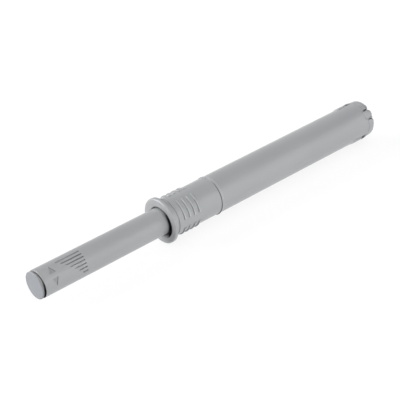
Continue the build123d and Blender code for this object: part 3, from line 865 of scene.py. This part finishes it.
class LATCH_OT_buffer_tip(bpy.types.Operator):
    """Thin end disc of the plunger with its stem"""

    bl_idname = "latch.buffer_tip"
    bl_label = "Buffer tip"

    def execute(self, context):
        sizes = context.scene.latch_tip
        low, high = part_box("buffer_tip")
        back_x = low.x + sizes.disc
        outline = rounded([
            (low.x, high.z, sizes.disc_round),
            (back_x, high.z, sizes.disc_round),
            (back_x, sizes.stem, 0),
            (high.x, sizes.stem, sizes.disc_round / 2),
            (high.x, 0, 0),
            (low.x, 0, 0),
        ])
        piece = turned("buffer_disc", outline, even_angles(DISC_STEPS))
        dress(piece, "tip", "soft_disc", "buffer", "buffer_tip")
        return {"FINISHED"}


class LATCH_OT_reach_screw(bpy.types.Operator):
    """Threaded screw that carries the buffer, hidden in the sleeve until it is turned out"""

    bl_idname = "latch.reach_screw"
    bl_label = "Reach screw"

    def execute(self, context):
        sizes = context.scene.latch_tip
        low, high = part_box("reach_screw")
        shank_r = high.z
        floor_x = low.x + sizes.front_wall
        outline = rounded([
            (low.x, shank_r, 0),
            (high.x, shank_r, EDGE_ROUND),
            (high.x, sizes.bore, 0),
            (floor_x, sizes.bore, 0),
            (floor_x, sizes.stem, 0),
            (low.x, sizes.stem, 0),
        ])
        thread_from = low.x + sizes.gap
        thread_to = high.x - THREAD_RUN_OUT
        step = sizes.thread_pitch / THREAD_POINTS
        places = [thread_from + step * number for number in range(int((thread_to - thread_from) / step))]
        outline = cut_at(outline, places, (sizes.bore + shank_r) / 2)

        def thread(x, r, angle):
            """Sinks the middle of each turn, and lets the thread run out at both ends."""
            if abs(r - shank_r) > THREAD_SKIN or not thread_from < x < thread_to:
                return x, r
            turn = (x / sizes.thread_pitch - THREAD_STARTS * angle / (2 * pi)) % 1
            wave = held(1.5 - abs(turn - 0.5) * 4)
            ease = min(1, (x - thread_from) / THREAD_RUN_IN, (thread_to - x) / THREAD_RUN_OUT)
            return x, r - sizes.thread_depth * wave * ease

        piece = turned("reach_screw_thread", outline, even_angles(SCREW_STEPS), warp=thread)
        dress(piece, "tip", "screw_moulding", "inner_plastic", "reach_screw")
        return {"FINISHED"}


class LATCH_OT_plunger_sleeve(bpy.types.Operator):
    """Long plunger tube with two arrowheads and a wedge of grooves on its two mould sides"""

    bl_idname = "latch.plunger_sleeve"
    bl_label = "Plunger sleeve"

    def execute(self, context):
        sizes = context.scene.latch_sleeve
        low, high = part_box("plunger_sleeve")
        front_x, front_r = low.x, high.z
        rear_r = front_r - sizes.draft
        bore = rear_r - sizes.wall
        soft = sizes.mark_soft
        ring_x = front_x + sizes.ring_x
        arrow_x = front_x + sizes.arrow_x
        end_x = front_x + sizes.groove_end
        top = sizes.groove_pitch * (sizes.grooves - 1) / 2
        grooves = [
            (top - sizes.groove_pitch * number, sizes.groove_longest - sizes.groove_step * number)
            for number in range(sizes.grooves)
        ]
        half = sizes.arrow_length / 2
        arrow_tall = sizes.arrow_point - sizes.arrow_base
        slope = cos(atan2(half, arrow_tall))

        def depth(x, across):
            """How deep the marks are at a place along the sleeve and across it."""
            deepest = 0
            for middle, run in grooves:
                start_x = end_x - run
                inside = min(sizes.groove_width / 2 - abs(across - middle), x - start_x, end_x - x)
                along = held((x - start_x) / run)
                floor = sizes.groove_shallow + (sizes.groove_deep - sizes.groove_shallow) * along
                deepest = max(deepest, held(inside / soft + 0.5) * floor)
            height = abs(across)
            side = half * (sizes.arrow_point - height) / arrow_tall - abs(x - arrow_x)
            inside = min(height - sizes.arrow_base, side * slope)
            return max(deepest, held(inside / soft + 0.5) * sizes.mark_depth)

        def marks(x, r, angle):
            if r < rear_r - sizes.wall / 2 or x > end_x + soft:
                return x, r
            for side in MARK_SIDES:
                if cos(angle - radians(side)) > 0:
                    return x, r - depth(x, r * sin(radians(side) - angle))
            return x, r

        lines = [middle + way * sizes.groove_width / 2 + near * soft / 2
                 for middle, run in grooves for way in (-1, 1) for near in (-1, 1)]
        steps = int((arrow_tall + 2 * soft) / sizes.mark_step)
        heights = [sizes.arrow_base - soft + sizes.mark_step * number for number in range(steps + 2)]
        lines += heights + [-height for height in heights]
        angles = even_angles(SLEEVE_STEPS)
        for side in MARK_SIDES:
            angles += [radians(side) - asin(line / front_r) for line in lines]
        places = [end_x + near * soft / 2 for near in (-1, 1)]
        places += [end_x - run + near * soft / 2 for middle, run in grooves for near in (-1, 1)]
        steps = int(sizes.arrow_length / sizes.mark_step)
        places += [arrow_x - half - soft + sizes.mark_step * number for number in range(steps + 4)]
        outline = rounded([
            (front_x, bore, 0),
            (front_x, front_r, sizes.edge_round),
            (high.x, rear_r, TUBE_ROUND),
            (high.x, bore, 0),
            (ring_x + sizes.ring_width / 2, bore, 0),
            (ring_x + sizes.ring_width / 2, bore + sizes.ring_depth, 0),
            (ring_x - sizes.ring_width / 2, bore + sizes.ring_depth, 0),
            (ring_x - sizes.ring_width / 2, bore, 0),
        ])
        outline = cut_at(outline, places, rear_r - sizes.wall / 2)
        piece = turned("sleeve_tube", outline, merged_angles(angles), warp=marks)
        dress(piece, "sleeve", "sleeve_moulding", "grey_plastic", "plunger_sleeve")
        return {"FINISHED"}


class LATCH_OT_collar_bush(bpy.types.Operator):
    """Flange, neck, collar sleeve and the lip at the seam"""

    bl_idname = "latch.collar_bush"
    bl_label = "Collar bush"

    def execute(self, context):
        sizes = context.scene.latch_collar
        low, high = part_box("collar_bush")
        bore = sizes.outer - sizes.wall
        seat_x = low.x + sizes.flange
        neck_r = sizes.outer - sizes.neck_depth
        lip_r = sizes.outer + sizes.lip_proud
        relief_r = sizes.outer + sizes.relief_proud
        lip_x = high.x - sizes.lip_length
        throat_x = low.x + sizes.throat_length
        outline = rounded([
            (low.x, sizes.throat, sizes.mouth_round),
            (low.x, high.z, sizes.front_round),
            (seat_x, high.z, RIM_ROUND),
            (seat_x, relief_r, 0),
            (seat_x - sizes.relief, relief_r, 0),
            (seat_x - sizes.relief, neck_r, ROOT_ROUND),
            (seat_x + sizes.neck_length, neck_r, ROOT_ROUND),
            (seat_x + sizes.neck_length, sizes.outer, FINE_ROUND),
            (lip_x, sizes.outer, CRISP_ROUND),
            (lip_x, lip_r, FINE_ROUND),
            (high.x, lip_r, EDGE_ROUND),
            (high.x, bore, 0),
            (throat_x, bore, 0),
            (throat_x, sizes.throat, 0),
        ])
        mouth_x = low.x + sizes.mouth_round
        mouth_r = sizes.throat + sizes.mouth_round

        def narrow_mouth(x, r, angle):
            if r > (mouth_r if x < mouth_x else sizes.throat) + MERGE:
                return x, r
            away = 0.5 - 0.5 * cos(angle - radians(MOUTH_PAINTED_SHADE[0]))
            rounding = (r - sizes.throat) * (1 - sizes.mouth_less * away)
            return x, sizes.throat + rounding - sizes.mouth_near * away

        piece = turned("collar_turned", outline, even_angles(COLLAR_STEPS), warp=narrow_mouth)
        dress(piece, "housing", "collar_moulding", "grey_plastic", "collar_bush")
        return {"FINISHED"}


class LATCH_OT_crush_ribs(bpy.types.Operator):
    """Four groups of crush ribs round the collar, one rib repeated"""

    bl_idname = "latch.crush_ribs"
    bl_label = "Crush ribs"

    def execute(self, context):
        sizes = context.scene.latch_collar
        seat_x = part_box("collar_bush")[0].x + sizes.flange
        foot = sizes.outer - sizes.neck_depth
        crest = sizes.outer + sizes.rib_proud
        start_x = seat_x + sizes.rib_x
        crest_x = start_x + sizes.rib_crest
        outline = rounded([
            (start_x, foot, 0),
            (start_x, crest, CREST_ROUND),
            (crest_x, crest, FINE_ROUND),
            (crest_x + sizes.rib_ramp, sizes.outer - RIB_SINK, 0),
            (crest_x + sizes.rib_ramp, foot, 0),
        ])
        first = radians(PAD_SIDES[0]) - sizes.rib_span / 2
        angles = [first + sizes.rib_span * step / RIB_STEPS for step in range(RIB_STEPS + 1)]
        piece = turned("crush_ribs", outline, angles, whole=False)
        run_tree(
            piece,
            repeat_tree(),
            Rows=sizes.ribs,
            Pitch=sizes.rib_pitch,
            Groups=sizes.groups,
            Material=material("rib_moulding"),
        )
        dress(piece, "housing", "rib_moulding", "grey_plastic")
        return {"FINISHED"}


class LATCH_OT_housing_tube(bpy.types.Operator):
    """Long tube with its nose, tail pads, snap windows and the notches for the key tabs"""

    bl_idname = "latch.housing_tube"
    bl_label = "Housing tube"

    def execute(self, context):
        sizes = context.scene.latch_tube
        low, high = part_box("housing_tube")
        outer = high.z
        end_x = high.x
        window_to = end_x - sizes.window_back
        window_from = window_to - sizes.window_length
        notch_x = end_x - sizes.notch
        pad_x = end_x - sizes.pad_length
        pad_full_x = pad_x + sizes.pad_ramp
        pad_end_x = end_x - sizes.pad_back

        def pads_and_notches(x, r, angle):
            if r > outer - PAD_SKIN and inside_sector(angle, PAD_SIDES, sizes.pad_half):
                rise = (x - pad_x) / sizes.pad_ramp
                fall = (pad_end_x - x) / sizes.pad_proud
                r += sizes.pad_proud * held(min(rise, fall))
            if x > notch_x and inside_sector(angle, TAB_SIDES, sizes.notch_half):
                x = notch_x
            return x, r

        outline = rounded([
            (low.x, sizes.guide, 0),
            (low.x, sizes.nose, SMALL_ROUND),
            (sizes.shoulder_x, sizes.nose, 0),
            (sizes.shoulder_x, outer, sizes.shoulder_round),
            (end_x, outer, SEAM_ROUND),
            (end_x, sizes.bore, 0),
            (sizes.stop_x, sizes.bore, 0),
            (sizes.stop_x, sizes.guide, 0),
        ])
        places = [window_from, window_to, notch_x - WALL_TURN, notch_x]
        places += [pad_x - SUPPORT, pad_x, pad_full_x, pad_full_x + SUPPORT]
        places += [pad_end_x - sizes.pad_proud, pad_end_x]
        outline = cut_at(outline, places, (sizes.guide + sizes.bore) / 2)
        angles = even_angles(HOUSING_STEPS)
        angles += wall_angles(PAD_SIDES, sizes.pad_half, outer)
        angles += wall_angles(TAB_SIDES, sizes.notch_half, outer)
        angles += [radians(side) + way * sizes.window_half for side in PAD_SIDES for way in (-1, 1)]
        openings = [(window_from, window_to, side, sizes.window_half) for side in PAD_SIDES]
        angles = merged_angles(angles)
        piece = turned("housing_shell", outline, angles, warp=pads_and_notches, openings=openings)
        dress(piece, "housing", "tube_moulding", "grey_plastic", "housing_tube")
        return {"FINISHED"}


class LATCH_OT_end_cap(bpy.types.Operator):
    """Tail cap with its slots, key tabs, snap hooks and rear recess"""

    bl_idname = "latch.end_cap"
    bl_label = "End cap"

    def execute(self, context):
        sizes = context.scene.latch_cap
        tube = context.scene.latch_tube
        low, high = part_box("end_cap")
        tube_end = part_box("housing_tube")[1].x
        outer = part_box("housing_tube")[1].z
        slot_floor = outer - sizes.slot_depth
        slot_half = sizes.slot_width / 2 / outer
        tab_edge = degrees(sizes.tab_half + slot_half)
        slot_middles = [side + way * tab_edge for side in TAB_SIDES for way in (-1, 1)]
        hook_to = tube_end - tube.window_back - sizes.hook_play
        hook_from = hook_to - tube.window_length + 2 * sizes.hook_play
        crest_from = hook_to - sizes.hook_crest
        plug_x = tube_end - sizes.plug_length

        def hook_radius(x):
            if not hook_from - MERGE < x < hook_to + MERGE:
                return sizes.plug
            share = held((x - hook_from) / (crest_from - hook_from))
            return sizes.plug + share * (sizes.hook - sizes.plug)

        def lobe(x, r, angle):
            """The rear rim, drawn in towards the slots, so that the lobes between them are round."""
            if x < high.x - sizes.edge_round - MERGE or r < slot_floor:
                return x
            from_slot = min(aside(angle, middle) for middle in slot_middles) - slot_half
            near = held(1 - from_slot / sizes.lobe_reach)
            return x - sizes.lobe_round * near ** 2 * (r - slot_floor) / sizes.slot_depth

        def hooks_slots_and_tabs(x, r, angle):
            if x < tube_end - MERGE:
                hooked = abs(r - sizes.plug) < PLUG_SKIN and inside_sector(angle, PAD_SIDES, sizes.hook_half)
                return x, hook_radius(x) if hooked else r
            x = lobe(x, r, angle)
            if r > slot_floor and inside_sector(angle, slot_middles, slot_half):
                shallow = inside_sector(angle, SHALLOW_SIDES, sizes.tab_half)
                return x, outer - sizes.slot_shallow if shallow else slot_floor
            if r > sizes.plug - PLUG_SKIN and inside_sector(angle, TAB_SIDES, sizes.tab_half):
                if x < tube_end + KEY_FACE:
                    x -= sizes.tab_key
                if r > outer - sizes.edge_round:
                    r += sizes.tab_proud
            return x, r

        socket_end = high.x - sizes.socket_wall
        outline = rounded([
            (high.x - sizes.recess_depth, 0, 0),
            (high.x - sizes.recess_depth, sizes.recess, SMALL_ROUND),
            (high.x, sizes.recess, RIM_ROUND),
            (high.x, outer, sizes.edge_round),
            (tube_end, outer, SEAM_ROUND),
            (tube_end, sizes.plug, 0),
            (plug_x, sizes.plug, EDGE_ROUND),
            (plug_x, sizes.boss, 0),
            (low.x, sizes.boss, BOSS_ROUND),
            (low.x, sizes.socket, 0),
            (socket_end, sizes.socket, 0),
            (socket_end, 0, 0),
        ])
        places = [hook_from, crest_from, hook_to, hook_to + WALL_TURN]
        outline = cut_at(outline, places, sizes.plug - PLUG_SKIN)
        angles = even_angles(HOUSING_STEPS)
        angles += wall_angles(slot_middles, slot_half, outer)
        angles += wall_angles(TAB_SIDES, sizes.tab_half, outer)
        angles += wall_angles(PAD_SIDES, sizes.hook_half, outer)
        piece = turned("tail_cap", outline, merged_angles(angles), warp=hooks_slots_and_tabs)
        dress(piece, "housing", "cap_moulding", "grey_plastic", "end_cap")
        return {"FINISHED"}


class LATCH_OT_main_spring(bpy.types.Operator):
    """Ejecting spring, wound as one round wire"""

    bl_idname = "latch.main_spring"
    bl_label = "Main spring"

    def execute(self, context):
        sizes = context.scene.latch_spring
        low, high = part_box("main_spring")
        travel = next(joint for joint in frame["joints"] if joint["name"] == "plunger_slide")["range_m"][1]
        piece = finished("spring_coil", bpy.data.meshes.new("spring_coil"))
        run_tree(
            piece,
            coil_tree(),
            Turns=float(sizes.turns),
            Length=high.x - low.x - 2 * sizes.wire,
            Radius=high.z - sizes.wire,
            Wire=sizes.wire,
            Start=(low.x + sizes.wire, 0, 0),
            Material=material("drawn_steel"),
        )
        dress(piece, "housing", "drawn_steel", "steel_wire", "main_spring")
        shortened = (high.x - low.x - travel) / (high.x - low.x)
        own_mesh(piece)
        return {"FINISHED"}


class LATCH_OT_inner_pieces(bpy.types.Operator):
    """Finishes of the hidden pieces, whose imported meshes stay"""

    bl_idname = "latch.inner_pieces"
    bl_label = "Inner pieces"

    def execute(self, context):
        finishes = {
            "plunger_core": "natural_moulding",
            "pin_carrier": "natural_moulding",
            "cam_rod": "natural_moulding",
            "latch_pin": "drawn_steel",
        }
        for node, finish in finishes.items():
            slots = frame["nodes"][node].data.materials
            slots.clear()
            slots.append(material(finish))
        return {"FINISHED"}


class LATCH_OT_stage(bpy.types.Operator):
    """Pale floor, soft studio lights and the camera"""

    bl_idname = "latch.stage"
    bl_label = "Stage"

    def execute(self, context):
        scene = context.scene
        scene.view_settings.view_transform = "Standard"
        self.add_floor(scene, CAD_BOX[0].z)
        self.add_world(scene)
        for name, azimuth, elevation, brightness in SOFT_BOXES:
            self.add_soft_box(scene, name, azimuth, elevation, brightness)
        self.add_camera(scene)
        return {"FINISHED"}

    def add_floor(self, scene, height):
        finish = Finish("pale_floor", Roughness=0.9, Emission_Strength=FLOOR_GLOW)
        tint = scene.latch_colours.floor
        cloud = finish.noise(FLOOR_CLOUD, 1.0)
        finish.feed("Base Color", finish.mix(cloud, tuple(tint), toned(tint, FLOOR_SHADE)))
        finish.shader.inputs["Emission Color"].default_value = (1, 1, 1, 1)
        mesh = bpy.data.meshes.new("floor")
        square = ((-1, -1), (1, -1), (1, 1), (-1, 1))
        mesh.from_pydata([(x * FLOOR_REACH, y * FLOOR_REACH, height) for x, y in square], [], [(0, 1, 2, 3)])
        floor = bpy.data.objects.new("floor", mesh)
        floor.data.materials.append(finish.material)
        scene.collection.objects.link(floor)

    def add_world(self, scene):
        world = bpy.data.worlds.new("studio")
        world.use_nodes = True
        background = world.node_tree.nodes["Background"]
        background.inputs["Color"].default_value = (1, 1, 1, 1)
        background.inputs["Strength"].default_value = WORLD_GLOW
        scene.world = world

    def add_soft_box(self, scene, name, azimuth, elevation, brightness):
        """A square soft box that faces the middle of the latch. Azimuth 0 is at +X and 90 at +Y."""
        lamp = bpy.data.lights.new(name, "AREA")
        lamp.shape = "SQUARE"
        lamp.size = SOFT_BOX_SIZE
        lamp.energy = brightness * pi * SOFT_BOX_SIZE ** 2
        light = bpy.data.objects.new(name, lamp)
        level = SOFT_BOX_DISTANCE * cos(radians(elevation))
        height = SOFT_BOX_DISTANCE * sin(radians(elevation))
        light.location = (level * cos(radians(azimuth)), level * sin(radians(azimuth)), height)
        light.rotation_euler = light.location.to_track_quat("Z", "Y").to_euler()
        scene.collection.objects.link(light)

    def add_camera(self, scene):
        data = bpy.data.cameras.new("camera")
        data.sensor_width = CAMERA_SENSOR
        data.lens = CAMERA_LENS
        data.clip_start, data.clip_end = CAMERA_CLIP
        camera = bpy.data.objects.new("camera", data)
        turn = Matrix((CAMERA_RIGHT, CAMERA_UP, CAMERA_RIGHT.cross(CAMERA_UP))).transposed()
        camera.matrix_world = Matrix.Translation(CAMERA_PLACE) @ turn.to_4x4()
        scene.collection.objects.link(camera)
        scene.camera = camera


PIECE_OPERATORS = (
    LATCH_OT_buffer_tip,
    LATCH_OT_reach_screw,
    LATCH_OT_plunger_sleeve,
    LATCH_OT_collar_bush,
    LATCH_OT_crush_ribs,
    LATCH_OT_housing_tube,
    LATCH_OT_end_cap,
    LATCH_OT_main_spring,
    LATCH_OT_inner_pieces,
    LATCH_OT_stage,
)


class LATCH_PT_panel(bpy.types.Panel):
    """Sidebar panel with a button for each piece of the latch"""

    bl_idname = "LATCH_PT_panel"
    bl_label = "Touch latch"
    bl_space_type = "VIEW_3D"
    bl_region_type = "UI"
    bl_category = "Touch latch"

    def draw(self, context):
        for operator in PIECE_OPERATORS:
            self.layout.operator(operator.bl_idname)


PROPERTY_GROUPS = {
    "latch_sleeve": SleeveSizes,
    "latch_tip": TipSizes,
    "latch_collar": CollarSizes,
    "latch_tube": TubeSizes,
    "latch_cap": CapSizes,
    "latch_spring": SpringSizes,
    "latch_colours": LatchColours,
}


def register():
    for group in PROPERTY_GROUPS.values():
        bpy.utils.register_class(group)
    for name, group in PROPERTY_GROUPS.items():
        setattr(bpy.types.Scene, name, PointerProperty(type=group))
    for operator in PIECE_OPERATORS:
        bpy.utils.register_class(operator)
    bpy.utils.register_class(LATCH_PT_panel)


def unregister():
    bpy.utils.unregister_class(LATCH_PT_panel)
    for operator in reversed(PIECE_OPERATORS):
        bpy.utils.unregister_class(operator)
    for name in PROPERTY_GROUPS:
        delattr(bpy.types.Scene, name)
    for group in PROPERTY_GROUPS.values():
        bpy.utils.unregister_class(group)


def main():
    register()
    bpy.ops.latch.buffer_tip()
    bpy.ops.latch.reach_screw()
    bpy.ops.latch.plunger_sleeve()
    bpy.ops.latch.collar_bush()
    bpy.ops.latch.crush_ribs()
    bpy.ops.latch.housing_tube()
    bpy.ops.latch.end_cap()
    bpy.ops.latch.main_spring()
    bpy.ops.latch.inner_pieces()
    bpy.ops.latch.stage()


if __name__ == "__main__":
    main()
